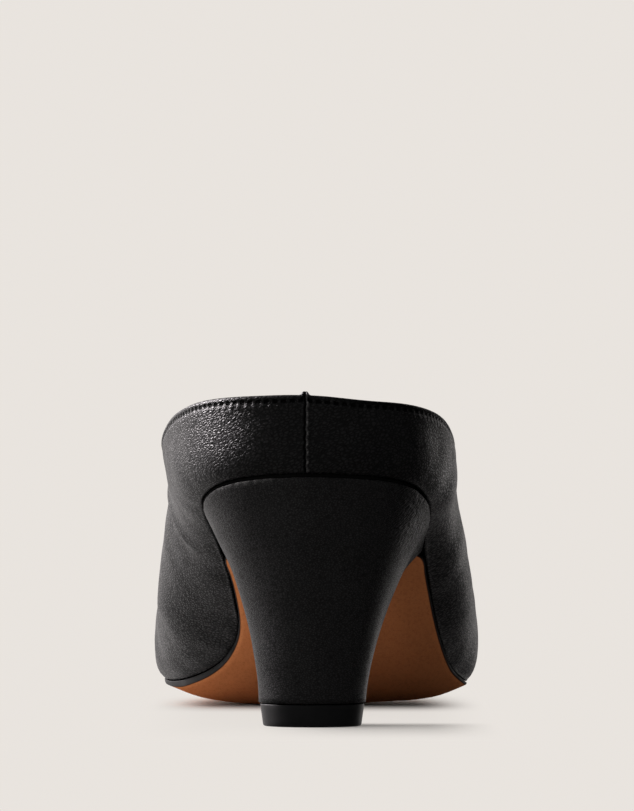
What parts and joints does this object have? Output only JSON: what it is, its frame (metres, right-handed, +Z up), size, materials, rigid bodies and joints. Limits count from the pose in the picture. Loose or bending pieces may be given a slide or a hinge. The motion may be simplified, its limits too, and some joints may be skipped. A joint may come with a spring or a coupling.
{
  "type": "low heel shoe",
  "caption": "Closed-toe leather shoe for the right foot, with a low cut back, a wide open collar, a thin leather sole and a flared leather-covered heel of medium height.",
  "frame": {"origin": "on the floor, under the middle of the shoe's length and width", "axes": "+Z up, +Y towards the toe, +X towards the outer side of the foot"},
  "size_m": [0.0854, 0.2384, 0.0804],
  "materials": {
    "upper_leather": "soft pebbled black leather, low sheen",
    "insole_leather": "smooth natural lining leather",
    "sole_leather": "smooth waxed tan sole leather, edge painted black",
    "heel_leather": "fine grained black leather cover, satin",
    "lift_rubber": "dull black rubber"
  },
  "bodies": {
    "root": {"upper": "upper_leather", "insole": "insole_leather", "outsole": "sole_leather", "heel": "heel_leather", "top_lift": "lift_rubber"}
  },
  "joints": []
}
